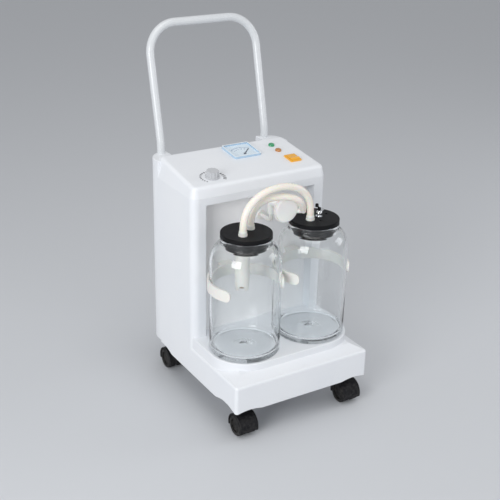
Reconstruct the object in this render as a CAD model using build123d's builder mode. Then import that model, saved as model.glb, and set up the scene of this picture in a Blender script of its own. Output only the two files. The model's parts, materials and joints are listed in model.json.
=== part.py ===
from build123d import *
from math import atan2, cos, degrees, pi, radians, sin, tan
import os

os.makedirs("parts", exist_ok=True)

# Body and tray. Millimetres, +X right, +Y to the rear, +Z up, floor at Z = 0.
body_width = 286
body_depth = 314
body_front = -197
wall = 3
skirt_bottom = 57
tray_height = 54.5
tray_corner = 6
tray_edge_radius = 5
ledge_rise = 9.5
ledge_taper = 65
platform_rise = 22
seat_depth = 1.5
plinth_rim = 4
plinth_edge = 1.8

# Cabinet
cabinet_front = -38.5
cabinet_corner = 14
seam_height = 409
rear_cover_depth = 20
rear_corner = 18
rear_bottom_radius = 14
cover_taper = 12
cover_edge_radius = 8
panel_tilt = 7.6
panel_rise = 29.7
jamb_width = 27
hood_drop = 14
bay_depth = 23
bay_panel_thickness = 2.5

# Jars
jar_radius = 65
jar_pitch = 143.8
jar_y = -104.5
jar_wall = 4
jar_shoulder_height = 176
jar_neck_radius = 45
jar_neck_height = 208
jar_height = 221.5
jar_rim_radius = 46.8
jar_clearance = 1.2

# Stoppers and fittings
stopper_radius = 46.5
stopper_flange = 7.5
plug_depth = 24
plug_taper = 3.2
plug_clearance = 0.3
nozzle_radius = 4.5
nozzle_bore = 3
nozzle_height = 14
nozzle_collar_radius = 8
nozzle_collar_height = 3
hose_radius = 6.5
hose_bore = 4.6
cage_radius = 13
cage_wall = 2
cage_length = 76
cage_x = -79
float_radius = 8
float_length = 62
seal_height = 5

# Filter and inlet
filter_x = 14
filter_y = -97
filter_rise = 23
filter_radius = 25
filter_thickness = 12
sleeve_y = -50
sleeve_radius = 7
sleeve_length = 14
inlet_drop = 24
inlet_radius = 4

# Jar clips
clip_gap = 0.5
clip_thickness = 3.5
clip_height = 21
clip_bottom = 252
clip_open = 36
clip_pad_width = 30

# Handle
handle_radius = 7.75
handle_wall = 1.5
handle_x = 114.5
handle_y = 140
handle_bottom = 185
handle_bend = 458
handle_top = 673
handle_lean = 13.2
handle_corner = 57
socket_top = 448
socket_bottom = 340
socket_width = 30
socket_bore_gap = 0.05
saddle_bottom = 192
saddle_height = 26

# Casters
wheel_radius = 20
wheel_width = 14
caster_x = 114
caster_front_y = -159.2
caster_rear_y = 86
caster_trail = 16
fork_web = 7
wheel_gap = 0.7
crown_gap = 1
crown_thickness = 2
axle_radius = 3
running_gap = 0.05
stem_radius = 4
fork_top = 58
stem_collar = 7

# Chassis and pump
plate_bottom = 66
plate_thickness = 2
pump_y = 42
pump_z = 150
motor_radius = 45
motor_bore = 35
motor_length = 84
crankcase_width = 40
crankcase_depth = 84
crankcase_height = 92
head_width = 34
head_depth = 58
head_height = 44
head_fins = 5
fin_thickness = 2.4
shaft_radius = 6
fan_radius = 36
fan_width = 14
fan_blades = 6
isolator_radius = 9

# Control panel
gauge_x = 21
gauge_v = 33
gauge_width = 58
gauge_depth = 55
gauge_rise = 4.5
gauge_frame = 2.6
gauge_case_radius = 23
gauge_case_depth = 26
dial_thickness = 0.8
needle_length = 27
needle_pivot_v = -14
needle_rest = 45
lamp_x = 90.5
lamp_vs = (36, 11)
lamp_radius = 6
lamp_stem = 4
switch_x = 98
switch_v = -28.7
switch_width = 24
switch_length = 28
switch_rise = 2.5
switch_frame = 2.5
rocker_gap = 0.3
rocker_tilt = 8
knob_x = -85
knob_v = -44.8
knob_radius = 13
knob_height = 13
knob_flutes = 12
spindle_radius = 3

# Places worked out from the sizes above
half_width = body_width / 2
body_rear = body_front + body_depth
shell_rear = body_rear - rear_cover_depth
tray_top = skirt_bottom + tray_height
platform_top = tray_top + platform_rise
seat_z = platform_top - seat_depth
bay_panel_y = cabinet_front + bay_depth
jar_x = jar_pitch / 2
plinth_radius = jar_radius + plinth_rim
lid_z = seat_z + jar_height + stopper_flange
plug_bottom = seat_z + jar_height - plug_depth
plate_top = plate_bottom + plate_thickness
panel_mid_y = (cabinet_front + body_rear) / 2
panel_mid_height = seam_height + panel_rise
bay_width = body_width - 2 * jamb_width
bay_top = seam_height - hood_drop
filter_z = lid_z + filter_rise
panel = Plane(
    origin=(0, panel_mid_y, panel_mid_height),
    x_dir=(1, 0, 0),
    z_dir=(0, -sin(radians(panel_tilt)), cos(radians(panel_tilt))),
)


def finish(part, name):
    """Label a finished piece and write it."""
    part.label = name
    export_step(part, f"parts/{name}.step")


def plinth_outline(inset, rear):
    """The jar plinth in plan: a round end about each jar and a straight front."""
    reach = plinth_radius - inset
    for side in (-1, 1):
        with Locations((side * jar_x, jar_y)):
            Circle(reach)
    with Locations((0, (jar_y - reach + rear) / 2)):
        Rectangle(jar_pitch, rear - jar_y + reach)
    with Locations((0, (jar_y + rear) / 2)):
        Rectangle(jar_pitch + 2 * reach, rear - jar_y)


def block(x_range, y_range, z_range, mode=Mode.ADD):
    """A box given by its three ranges, inside the part being built."""
    sizes = [span[1] - span[0] for span in (x_range, y_range, z_range)]
    centre = tuple((span[0] + span[1]) / 2 for span in (x_range, y_range, z_range))
    with Locations(centre):
        Box(*sizes, mode=mode)


caster_places = [
    ("front_left", -caster_x, caster_front_y, -1),
    ("front_right", caster_x, caster_front_y, -1),
    ("rear_left", -caster_x, caster_rear_y, 1),
    ("rear_right", caster_x, caster_rear_y, 1),
]
arch_low_radius = 46
arch_high_radius = 30
arch_height = 7


def cut_wheel_arches():
    """Room for the casters: a cone about each swivel axis cuts an arch in the skirt."""
    for _, x, y, _ in caster_places:
        with Locations((x, y, skirt_bottom + arch_height / 2)):
            Cone(arch_low_radius, arch_high_radius, arch_height + 0.01, mode=Mode.SUBTRACT)


# Body shell: tray with sloping ledge and plinth, cabinet walls and jar bay in one moulding
with BuildPart() as body_shell:
    with BuildSketch(Plane.XY.offset(skirt_bottom)) as tray_plan:
        with Locations((0, (body_front + shell_rear) / 2)):
            Rectangle(body_width, shell_rear - body_front)
        fillet(tray_plan.vertices().group_by(Axis.Y)[0], tray_corner)
    extrude(amount=tray_height)
    tray_rim = body_shell.faces().sort_by(Axis.Z)[-1].edges()
    fillet(tray_rim.filter_by(lambda edge: edge.center().Y < shell_rear - 1), tray_edge_radius)
    with BuildSketch(Plane.XY.offset(tray_top)):
        ledge_rear = cabinet_front + ledge_rise * tan(radians(ledge_taper)) + wall
        with Locations((0, (body_front + tray_edge_radius + ledge_rear) / 2)):
            Rectangle(body_width - 2 * tray_edge_radius, ledge_rear - body_front - tray_edge_radius)
    extrude(amount=ledge_rise, taper=ledge_taper)
    with BuildSketch(Plane.XY.offset(tray_top - 1)):
        plinth_outline(0, bay_panel_y - wall)
    extrude(amount=platform_rise + 1)
    fillet(body_shell.faces().sort_by(Axis.Z)[-1].edges(), plinth_edge)
    with BuildSketch(Plane.XY.offset(skirt_bottom)) as cabinet_plan:
        with Locations((0, (cabinet_front + shell_rear) / 2)):
            Rectangle(body_width, shell_rear - cabinet_front)
        fillet(cabinet_plan.vertices().group_by(Axis.Y)[0], cabinet_corner)
    extrude(amount=seam_height - skirt_bottom)
    inner = half_width - wall
    jamb = bay_width / 2 + wall
    block((-inner, inner), (body_front + wall, bay_panel_y), (skirt_bottom, tray_top - wall), Mode.SUBTRACT)
    with BuildSketch(Plane.XY.offset(tray_top - wall)):
        plinth_outline(wall, bay_panel_y)
    extrude(amount=seat_z - tray_top, mode=Mode.SUBTRACT)
    block((-inner, inner), (bay_panel_y, shell_rear), (skirt_bottom, seam_height), Mode.SUBTRACT)
    column_front = cabinet_front + wall
    with BuildSketch(Plane.XY.offset(platform_top)) as column_plan:
        for side in (-1, 1):
            with Locations((side * (jamb + inner) / 2, (column_front + bay_panel_y) / 2)):
                Rectangle(inner - jamb, bay_panel_y - column_front)
        outer_corners = column_plan.vertices().filter_by(
            lambda point: abs(point.X) > inner - 1 and point.Y < column_front + 1
        )
        fillet(outer_corners, cabinet_corner - wall)
    extrude(amount=seam_height - platform_top, mode=Mode.SUBTRACT)
    hood_floor = bay_top + wall
    block((-jamb, jamb), (cabinet_front + wall, bay_panel_y), (hood_floor, seam_height), Mode.SUBTRACT)
    bay_half = bay_width / 2
    block((-bay_half, bay_half), (cabinet_front, bay_panel_y), (platform_top, bay_top), Mode.SUBTRACT)
    with BuildSketch(Plane.XY.offset(seat_z)):
        with Locations((-jar_x, jar_y), (jar_x, jar_y)):
            Circle(jar_radius + jar_clearance)
    extrude(amount=seat_depth, mode=Mode.SUBTRACT)
    cut_wheel_arches()
finish(body_shell.part, "body_shell")

# Bay panel behind the jars, with a hole for the inlet elbow
inlet_z = filter_z - inlet_drop - sleeve_length
bay_panel_overlap = 6
with BuildPart() as bay_panel:
    panel_low = seat_z - wall
    with BuildSketch(Plane.XZ.offset(-bay_panel_y)):
        with Locations((0, (panel_low + bay_top + bay_panel_overlap) / 2)):
            Rectangle(bay_width + 2 * bay_panel_overlap, bay_top + bay_panel_overlap - panel_low)
        with Locations((filter_x, inlet_z)):
            Circle(inlet_radius + 2, mode=Mode.SUBTRACT)
    extrude(amount=-bay_panel_thickness)
finish(bay_panel.part, "bay_panel")

# Rear cover: shallow pan with louvres and openings for the mains inlet and the fuse
louvre_count = 9
louvre_pitch = 9
louvre_length = 78
louvre_height = 3.5
louvre_z = 300
vent_x = 60
inlet_width = 27.5
inlet_height = 20
mains_x = -60
mains_z = 120
fuse_x = 0
fuse_hole = 6
cover_inner_bottom = skirt_bottom + rear_bottom_radius + wall
with BuildPart() as rear_cover:
    with BuildSketch(Plane.XY.offset(skirt_bottom)) as cover_plan:
        with Locations((0, shell_rear + rear_cover_depth / 2)):
            Rectangle(body_width, rear_cover_depth)
        fillet(cover_plan.vertices().group_by(Axis.Y)[-1], rear_corner)
    extrude(amount=seam_height - skirt_bottom)
    bottom_rim = rear_cover.faces().sort_by(Axis.Z)[0].edges()
    fillet(bottom_rim.filter_by(lambda edge: edge.center().Y > shell_rear + 1), rear_bottom_radius)
    with BuildSketch(Plane.XY.offset(cover_inner_bottom)) as pan_plan:
        with Locations((0, shell_rear + (rear_cover_depth - wall) / 2)):
            Rectangle(body_width - 2 * wall, rear_cover_depth - wall)
        fillet(pan_plan.vertices().group_by(Axis.Y)[-1], rear_corner - wall)
    extrude(amount=seam_height - wall - cover_inner_bottom, mode=Mode.SUBTRACT)
    with BuildSketch(Plane.XZ.offset(-body_rear)):
        for row in range(louvre_count):
            with Locations((-vent_x, louvre_z - row * louvre_pitch), (vent_x, louvre_z - row * louvre_pitch)):
                SlotOverall(louvre_length, louvre_height)
        with Locations((mains_x, mains_z)):
            Rectangle(inlet_width, inlet_height)
        with Locations((fuse_x, mains_z)):
            Circle(fuse_hole)
    extrude(amount=wall + 1, mode=Mode.SUBTRACT)
    for _, x, y, _ in caster_places[2:]:
        with Locations((x, y, skirt_bottom + arch_height / 2)):
            Cone(arch_low_radius, arch_high_radius, arch_height + 0.01, mode=Mode.SUBTRACT)
finish(rear_cover.part, "rear_cover")


def cover_outline(plan, inset):
    """The cabinet in plan at the seam, inset by a wall on every side."""
    with Locations((0, panel_mid_y)):
        Rectangle(body_width - 2 * inset, body_rear - cabinet_front - 2 * inset)
    fillet(plan.vertices().group_by(Axis.Y)[0], cabinet_corner - inset)
    fillet(plan.vertices().group_by(Axis.Y)[-1], rear_corner - inset)


# Top cover: tapered moulding cut by the sloping control panel
cover_block = 60
with BuildPart() as cover_hollow:
    with BuildSketch(Plane.XY.offset(seam_height)) as hollow_plan:
        cover_outline(hollow_plan, wall)
    extrude(amount=cover_block, taper=cover_taper)
    split(bisect_by=panel.offset(-wall), keep=Keep.BOTTOM)
with BuildPart() as top_cover:
    with BuildSketch(Plane.XY.offset(seam_height)) as top_plan:
        cover_outline(top_plan, 0)
    extrude(amount=cover_block, taper=cover_taper)
    split(bisect_by=panel, keep=Keep.BOTTOM)
    fillet(top_cover.faces().sort_by(Axis.Z)[-1].edges(), cover_edge_radius)
    add(cover_hollow.part, mode=Mode.SUBTRACT)
    with BuildSketch(panel):
        with Locations((gauge_x, gauge_v)):
            Circle(gauge_case_radius + rocker_gap)
        with Locations([(lamp_x, v) for v in lamp_vs]):
            Circle(lamp_stem + rocker_gap)
        with Locations((switch_x, switch_v)):
            Rectangle(switch_width - 2 * switch_frame + 2, switch_length - 2 * switch_frame + 2)
        with Locations((knob_x, knob_v)):
            Circle(spindle_radius + 1)
    extrude(amount=-wall - 1, mode=Mode.SUBTRACT)
finish(top_cover.part, "top_cover")

# Steel chassis plate that closes the base and carries the pump and the casters
plate_gap = 0.4
with BuildPart() as chassis_plate:
    with BuildSketch(Plane.XY.offset(plate_bottom)) as plate_plan:
        plate_front = body_front + wall + plate_gap
        plate_rear = shell_rear - plate_gap
        with Locations((0, (plate_front + plate_rear) / 2)):
            Rectangle(body_width - 2 * wall - 2 * plate_gap, plate_rear - plate_front)
        fillet(plate_plan.vertices(), tray_corner)
    extrude(amount=plate_thickness)
finish(chassis_plate.part, "chassis_plate")

# Push handle: bent tube with vertical legs and a leaning hoop
lean = tan(radians(handle_lean))
hoop_y = handle_y + (handle_top - handle_bend) * lean
lower_bend = 60
with BuildPart() as push_handle:
    with BuildLine() as handle_path:
        FilletPolyline(
            (-handle_x, handle_y, handle_bottom),
            (-handle_x, handle_y, handle_bend),
            (-handle_x, hoop_y, handle_top),
            (handle_x, hoop_y, handle_top),
            (handle_x, handle_y, handle_bend),
            (handle_x, handle_y, handle_bottom),
            radius=[lower_bend, handle_corner, handle_corner, lower_bend],
        )
    with BuildSketch(Plane(origin=(-handle_x, handle_y, handle_bottom), z_dir=(0, 0, 1))):
        Circle(handle_radius)
        Circle(handle_radius - handle_wall, mode=Mode.SUBTRACT)
    sweep()
finish(push_handle.part, "push_handle")

# Handle sockets and saddles: moulded blocks on the rear cover that grip the legs
socket_chamfer = 6
socket_foot = body_rear
with BuildPart() as handle_sockets:
    for side in (-1, 1):
        for low, high in ((socket_bottom, socket_top), (saddle_bottom, saddle_bottom + saddle_height)):
            with BuildSketch(Plane.XY.offset(low)):
                with Locations((side * handle_x, handle_y)):
                    Circle(socket_width / 2)
                with Locations((side * handle_x, (socket_foot + handle_y) / 2)):
                    Rectangle(socket_width, handle_y - socket_foot)
            extrude(amount=high - low)
    top_rims = handle_sockets.faces().filter_by(Axis.Z).group_by(Axis.Z)[-1].edges()
    chamfer(top_rims.filter_by(lambda edge: edge.center().Y > socket_foot + 1), socket_chamfer)
    with BuildSketch(Plane.XY.offset(saddle_bottom)):
        with Locations((-handle_x, handle_y), (handle_x, handle_y)):
            Circle(handle_radius + socket_bore_gap)
    extrude(amount=socket_top - saddle_bottom, mode=Mode.SUBTRACT)
finish(handle_sockets.part, "handle_sockets")

# Screws: pan heads with a shank, shared by the pieces they hold
screw_head = 4.5
screw_head_height = 2.5
handle_screw_zs = (365, 425, saddle_bottom + saddle_height / 2)
socket_back = handle_y + socket_width / 2
cover_screw_xs = (-88, 88)
cover_screw_zs = (84, 235, 398)
with BuildPart() as handle_screws:
    for x in (-handle_x, handle_x):
        for z in handle_screw_zs:
            with BuildSketch(Plane((x, socket_back, z), x_dir=(1, 0, 0), z_dir=(0, 1, 0))):
                Circle(screw_head)
            extrude(amount=screw_head_height)
    fillet(handle_screws.faces().sort_by(Axis.Y)[-6:].edges(), screw_head_height / 2)
finish(handle_screws.part, "handle_screws")

with BuildPart() as cover_screws:
    for x in cover_screw_xs:
        for z in cover_screw_zs:
            head = Plane((x, body_rear, z), x_dir=(1, 0, 0), z_dir=(0, 1, 0))
            with BuildSketch(head):
                Circle(screw_head)
            extrude(amount=screw_head_height)
finish(cover_screws.part, "cover_screws")

# Vacuum gauge: case below the panel, square frame above it, dial, needle and window
window_thickness = 1.4
with BuildPart() as gauge_case:
    with BuildSketch(panel):
        with Locations((gauge_x, gauge_v)):
            Circle(gauge_case_radius)
    extrude(amount=-gauge_case_depth)
    with BuildSketch(panel.offset(-gauge_case_depth)):
        with Locations((gauge_x, gauge_v)):
            Circle(nozzle_radius)
    extrude(amount=-nozzle_height)
finish(gauge_case.part, "gauge_case")

with BuildPart() as gauge_bezel:
    with BuildSketch(panel):
        with Locations((gauge_x, gauge_v)):
            RectangleRounded(gauge_width, gauge_depth, 4)
            RectangleRounded(
                gauge_width - 2 * gauge_frame,
                gauge_depth - 2 * gauge_frame,
                2,
                mode=Mode.SUBTRACT,
            )
    extrude(amount=gauge_rise)
finish(gauge_bezel.part, "gauge_bezel")

with BuildPart() as gauge_dial:
    with BuildSketch(panel):
        with Locations((gauge_x, gauge_v)):
            RectangleRounded(gauge_width - 2 * gauge_frame, gauge_depth - 2 * gauge_frame, 2)
    extrude(amount=dial_thickness)
finish(gauge_dial.part, "gauge_dial")

with BuildPart() as gauge_window:
    with BuildSketch(panel.offset(gauge_rise - window_thickness)):
        with Locations((gauge_x, gauge_v)):
            RectangleRounded(gauge_width - 2 * gauge_frame, gauge_depth - 2 * gauge_frame, 2)
    extrude(amount=window_thickness)
finish(gauge_window.part, "gauge_window")

needle_hub = 2.5
needle_lift = 0.3
needle_thickness = 0.6
with BuildPart() as gauge_needle:
    with BuildSketch(panel.offset(dial_thickness + needle_lift)) as needle_plan:
        with Locations((gauge_x, gauge_v + needle_pivot_v)):
            Circle(needle_hub)
            with PolarLocations(0, 1, start_angle=90 - needle_rest):
                Trapezoid(2, needle_length, 88.5, rotation=-90, align=(Align.CENTER, Align.MIN))
    extrude(amount=needle_thickness)
finish(gauge_needle.part, "gauge_needle")

# Indicator lamps: domed lens with a stem through the panel
lamp_flange = 1.6
lamp_dome = 2.4
lamp_depth = 14
for lamp_name, lamp_v in zip(("power_lamp", "running_lamp"), lamp_vs):
    with BuildPart() as lamp:
        with BuildSketch(panel):
            with Locations((lamp_x, lamp_v)):
                Circle(lamp_radius)
        extrude(amount=lamp_flange + lamp_dome)
        fillet(lamp.faces().sort_by(Axis.Z)[-1].edges(), lamp_dome)
        with BuildSketch(panel):
            with Locations((lamp_x, lamp_v)):
                Circle(lamp_stem)
        extrude(amount=-lamp_depth)
    finish(lamp.part, lamp_name)

# Mains rocker: frame with a body below the panel, and the rocker on its trunnions
switch_case_depth = 20
switch_wall = 1.2
trunnion_radius = 1.2
rocker_width = switch_width - 2 * switch_frame - 2 * rocker_gap
rocker_reach = switch_length / 2 - switch_frame - rocker_gap
rocker_floor = 6
rocker_pivot = -1.5
with BuildPart() as switch_frame_part:
    with BuildSketch(panel):
        with Locations((switch_x, switch_v)):
            RectangleRounded(switch_width, switch_length, 2)
    extrude(amount=switch_rise)
    with BuildSketch(panel):
        with Locations((switch_x, switch_v)):
            case_width = switch_width - 2 * switch_frame + 2 * switch_wall - 1
            case_length = switch_length - 2 * switch_frame + 2 * switch_wall - 1
            Rectangle(case_width, case_length)
    extrude(amount=-switch_case_depth)
    with BuildSketch(panel.offset(switch_rise)):
        with Locations((switch_x, switch_v)):
            Rectangle(switch_width - 2 * switch_frame, switch_length - 2 * switch_frame)
    extrude(amount=-switch_rise - switch_case_depth + 3, mode=Mode.SUBTRACT)
    with BuildSketch(Plane(
        origin=panel.from_local_coords((switch_x, switch_v, rocker_pivot)),
        x_dir=panel.y_dir, z_dir=(1, 0, 0),
    )):
        Circle(trunnion_radius + running_gap)
    extrude(amount=rocker_width / 2 + rocker_gap + 0.5, both=True, mode=Mode.SUBTRACT)
finish(switch_frame_part.part, "switch_frame")

rocker_turn = radians(rocker_tilt)
rocker_plane = Plane(
    origin=panel.from_local_coords((switch_x, switch_v, rocker_pivot)),
    x_dir=panel.y_dir * cos(rocker_turn) - panel.z_dir * sin(rocker_turn),
    z_dir=(1, 0, 0),
)
with BuildPart() as power_rocker:
    with BuildSketch(rocker_plane):
        Circle(rocker_reach)
        with BuildSketch(mode=Mode.INTERSECT):
            with BuildLine():
                Polyline(
                    (-rocker_reach, -rocker_floor),
                    (rocker_reach, -rocker_floor),
                    (rocker_reach, rocker_floor + 1),
                    (0, rocker_floor - 1),
                    (-rocker_reach, rocker_floor + 1),
                    close=True,
                )
            make_face()
    extrude(amount=rocker_width / 2, both=True)
    with BuildSketch(rocker_plane):
        Circle(trunnion_radius)
    extrude(amount=rocker_width / 2 + rocker_gap + 0.4, both=True)
finish(power_rocker.part, "power_rocker")

# Vacuum regulator: fluted knob on a spindle, valve body under the panel
knob_lift = 0.5
knob_skirt = 3
flute_radius = 2
with BuildPart() as regulator_knob:
    with BuildSketch(panel.offset(knob_lift)):
        with Locations((knob_x, knob_v)):
            Circle(knob_radius)
    extrude(amount=knob_skirt)
    with BuildSketch(panel.offset(knob_lift + knob_skirt)) as grip_plan:
        with Locations((knob_x, knob_v)):
            Circle(knob_radius - 1)
            with PolarLocations(knob_radius, knob_flutes):
                Circle(flute_radius, mode=Mode.SUBTRACT)
    extrude(amount=knob_height - knob_skirt, taper=4)
finish(regulator_knob.part, "regulator_knob")

valve_radius = 11
valve_depth = 30
spindle_depth = 20
with BuildPart() as regulator_spindle:
    with BuildSketch(panel.offset(knob_lift)):
        with Locations((knob_x, knob_v)):
            Circle(spindle_radius)
    extrude(amount=-spindle_depth)
finish(regulator_spindle.part, "regulator_spindle")

with BuildPart() as regulator_valve:
    with BuildSketch(panel.offset(-wall)):
        with Locations((knob_x, knob_v)):
            RegularPolygon(valve_radius, 6)
    extrude(amount=-valve_depth)
    with BuildSketch(panel.offset(-wall)):
        with Locations((knob_x, knob_v)):
            Circle(spindle_radius + running_gap)
    extrude(amount=-spindle_depth, mode=Mode.SUBTRACT)
finish(regulator_valve.part, "regulator_valve")

# Glass jars: heavy foot, cylinder, round shoulder, neck with a bead
foot_radius = 7
shoulder_radius = 24
neck_fillet = 8
neck_bore = jar_neck_radius - jar_wall
bead_height = 7
punt_rise = 3
punt_radius = 22
jar_half_section = [
    (0, punt_rise),
    (punt_radius, 0),
    (jar_radius - 2, 0),
    (jar_radius, 4),
    (jar_radius, jar_shoulder_height),
    (jar_neck_radius, jar_neck_height),
    (jar_neck_radius, jar_height - bead_height - 2),
    (jar_rim_radius, jar_height - bead_height),
    (jar_rim_radius, jar_height),
    (neck_bore, jar_height),
    (neck_bore, jar_neck_height - 1),
    (jar_radius - jar_wall, jar_shoulder_height - 2),
    (jar_radius - jar_wall, jar_wall + 8),
    (jar_radius - jar_wall - 8, jar_wall + 1),
    (punt_radius, jar_wall + 1),
    (0, punt_rise + jar_wall + 1),
]
for jar_name, side in (("jar_left", -1), ("jar_right", 1)):
    with BuildPart() as jar:
        with BuildSketch(Plane((side * jar_x, jar_y, seat_z), x_dir=(1, 0, 0), z_dir=(0, -1, 0))) as section:
            with BuildLine():
                Polyline(*jar_half_section, close=True)
            make_face()
            round_points = section.vertices().filter_by(
                lambda point: abs(point.Z - seat_z - jar_shoulder_height) < 3
            )
            fillet(round_points, shoulder_radius)
        revolve(axis=Axis((side * jar_x, jar_y, 0), (0, 0, 1)))
    finish(jar.part, jar_name)

# Rubber stoppers: flange on the jar's rim and a tapered plug in its neck, holed for the nozzles
front_nozzle = (-86.7, -117.2)
rear_nozzle = (-58.8, -96.2)
cross_nozzle = (58.4, -111.4)
port_place = (80, -108)
cage_place = (cage_x, jar_y)
port_stem = 4
dimples = [(101, -101.2), (72.5, -123)]
holes = {
    -1: [(front_nozzle, nozzle_radius), (rear_nozzle, nozzle_radius)],
    1: [(cross_nozzle, nozzle_radius), (port_place, port_stem)],
}
for stopper_name, side in (("stopper_left", -1), ("stopper_right", 1)):
    with BuildPart() as stopper:
        with BuildSketch(Plane.XY.offset(lid_z - stopper_flange)):
            with Locations((side * jar_x, jar_y)):
                Circle(stopper_radius)
        extrude(amount=stopper_flange)
        fillet(stopper.faces().sort_by(Axis.Z)[-1].edges(), 1.5)
        with BuildSketch(Plane.XY.offset(lid_z - stopper_flange)):
            with Locations((side * jar_x, jar_y)):
                Circle(neck_bore - plug_clearance)
        extrude(amount=-plug_depth, taper=degrees(atan2(plug_taper, plug_depth)))
        for place, radius in holes[side]:
            with Locations((place[0], place[1], lid_z)):
                Hole(radius)
        if side > 0:
            with BuildSketch(Plane.XY.offset(lid_z)):
                with Locations(dimples):
                    Circle(2.4)
            extrude(amount=-1.5, mode=Mode.SUBTRACT)
    finish(stopper.part, stopper_name)

# Hose nozzles: tube through the stopper with a collar on its top
with BuildPart() as hose_nozzles:
    for place in (front_nozzle, rear_nozzle, cross_nozzle):
        with BuildSketch(Plane.XY.offset(plug_bottom)):
            with Locations(place):
                Circle(nozzle_radius)
        extrude(amount=lid_z - plug_bottom + nozzle_height)
        with BuildSketch(Plane.XY.offset(lid_z)):
            with Locations(place):
                Circle(nozzle_collar_radius)
        extrude(amount=nozzle_collar_height)
        with BuildSketch(Plane.XY.offset(plug_bottom)):
            with Locations(place):
                Circle(nozzle_bore)
        extrude(amount=lid_z - plug_bottom + nozzle_height, mode=Mode.SUBTRACT)
finish(hose_nozzles.part, "hose_nozzles")

# Chrome suction port: stem, ball and a straight spigot to the rear right for the patient's hose
ball_radius = 5.5
ball_rise = 8
spigot_radius = 3.2
spigot_length = 20
spigot_turn = radians(38)
with BuildPart() as suction_port:
    with BuildSketch(Plane.XY.offset(plug_bottom)):
        with Locations(port_place):
            Circle(port_stem)
    extrude(amount=lid_z - plug_bottom + ball_rise)
    with BuildSketch(Plane.XY.offset(lid_z)):
        with Locations(port_place):
            RegularPolygon(7, 6)
    extrude(amount=2.5)
    with Locations((port_place[0], port_place[1], lid_z + ball_rise)):
        Sphere(ball_radius)
    with BuildSketch(Plane((port_place[0], port_place[1], lid_z + ball_rise), z_dir=(cos(spigot_turn), sin(spigot_turn), 0))):
        Circle(spigot_radius)
    extrude(amount=spigot_length)
finish(suction_port.part, "suction_port")

# Port tap: black spindle with a slanted lever and its knob
tap_gap = 0.3
tap_radius = 3
tap_height = 4.5
lever_radius = 1.6
lever_shift = -5
lever_rise = 7.5
tap_base = lid_z + ball_rise + ball_radius + tap_gap
with BuildPart() as port_tap:
    with BuildSketch(Plane.XY.offset(tap_base)):
        with Locations(port_place):
            Circle(tap_radius)
    extrude(amount=tap_height)
    lever_start = Vector(port_place[0], port_place[1], tap_base + tap_height / 2)
    lever_end = lever_start + Vector(lever_shift, 1, lever_rise)
    with BuildSketch(Plane(lever_start, z_dir=lever_end - lever_start)):
        Circle(lever_radius)
    extrude(amount=(lever_end - lever_start).length)
    with BuildSketch(Plane(lever_end, x_dir=(1, 0, 0), z_dir=(0, 0, 1))):
        Circle(tap_radius)
    extrude(amount=tap_radius, both=True)
    knob_rims = port_tap.edges().filter_by(GeomType.CIRCLE).group_by(Axis.Z)[-1]
    fillet(knob_rims, tap_radius / 2)
finish(port_tap.part, "port_tap")

# Float valve: windowed cage under the left stopper, float and its rubber seal
cage_base = 3
window_count = 4
window_width = 11
window_margin = 9
window_turn = 58
cage_bottom = plug_bottom - cage_length
with BuildPart() as float_cage:
    with BuildSketch(Plane.XY.offset(cage_bottom)):
        with Locations(cage_place):
            Circle(cage_radius)
    extrude(amount=cage_length)
    with BuildSketch(Plane.XY.offset(cage_bottom + cage_base)):
        with Locations(cage_place):
            Circle(cage_radius - cage_wall)
    extrude(amount=cage_length - cage_base, mode=Mode.SUBTRACT)
    for turn in range(window_count // 2):
        angle = 90 * turn + window_turn
        window_plane = Plane(
            (cage_place[0], cage_place[1], cage_bottom + window_margin),
            x_dir=(cos(radians(angle)), sin(radians(angle)), 0),
            z_dir=(-sin(radians(angle)), cos(radians(angle)), 0),
        )
        with BuildSketch(window_plane):
            with Locations((0, (cage_length - 2 * window_margin) / 2)):
                SlotOverall(cage_length - 2 * window_margin, window_width, rotation=90)
        extrude(amount=cage_radius + 1, both=True, mode=Mode.SUBTRACT)
finish(float_cage.part, "float_cage")

float_lift = 0.3
float_bottom = cage_bottom + cage_base + float_lift
with BuildPart() as float_body:
    with BuildSketch(Plane.XY.offset(float_bottom)):
        with Locations(cage_place):
            Circle(float_radius)
    extrude(amount=float_length)
finish(float_body.part, "float_body")

with BuildPart() as float_seal:
    with BuildSketch(Plane.XY.offset(float_bottom + float_length)):
        with Locations(cage_place):
            Circle(float_radius - 1)
    extrude(amount=seal_height, taper=20)
finish(float_seal.part, "float_seal")


def hose_radii(points):
    """One arc for each corner of a hose, as large as its two runs allow."""
    radii = []
    for before, here, after in zip(points, points[1:], points[2:]):
        run_in = Vector(*here) - Vector(*before)
        run_out = Vector(*after) - Vector(*here)
        shorter = min(run_in.length, run_out.length)
        radii.append(0.45 * shorter / tan(radians(run_in.get_angle(run_out) / 2)))
    return radii


# Hoses: cream tubes bowed from nozzle to nozzle and from nozzle to filter.
# The third number of each point is its rise above the stoppers' tops.
front_hose_rises = [
    (-86.7, -117.2, nozzle_collar_height),
    (-86.7, -117.2, 30.5),
    (-72.5, -116.7, 55.5),
    (-44.5, -115.8, 72.5),
    (-8.0, -114.5, 76.5),
    (26.0, -113.2, 68.5),
    (48.5, -112.0, 50.5),
    (58.4, -111.4, 27.0),
    (58.4, -111.4, nozzle_collar_height),
]
rear_hose_rises = [
    (-58.8, -96.2, nozzle_collar_height),
    (-58.8, -96.2, 24.5),
    (-48.0, -98.5, 43.0),
    (-29.4, -103.5, 53.9),
    (-3.5, -110.0, 55.7),
    (21.0, -114.0, 49.6),
    (37.5, -112.0, 36.5),
    (45.5, -105.5, 21.5),
]
front_hose_route = [(x, y, lid_z + rise) for x, y, rise in front_hose_rises]
rear_hose_route = [(x, y, lid_z + rise) for x, y, rise in rear_hose_rises]
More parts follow.
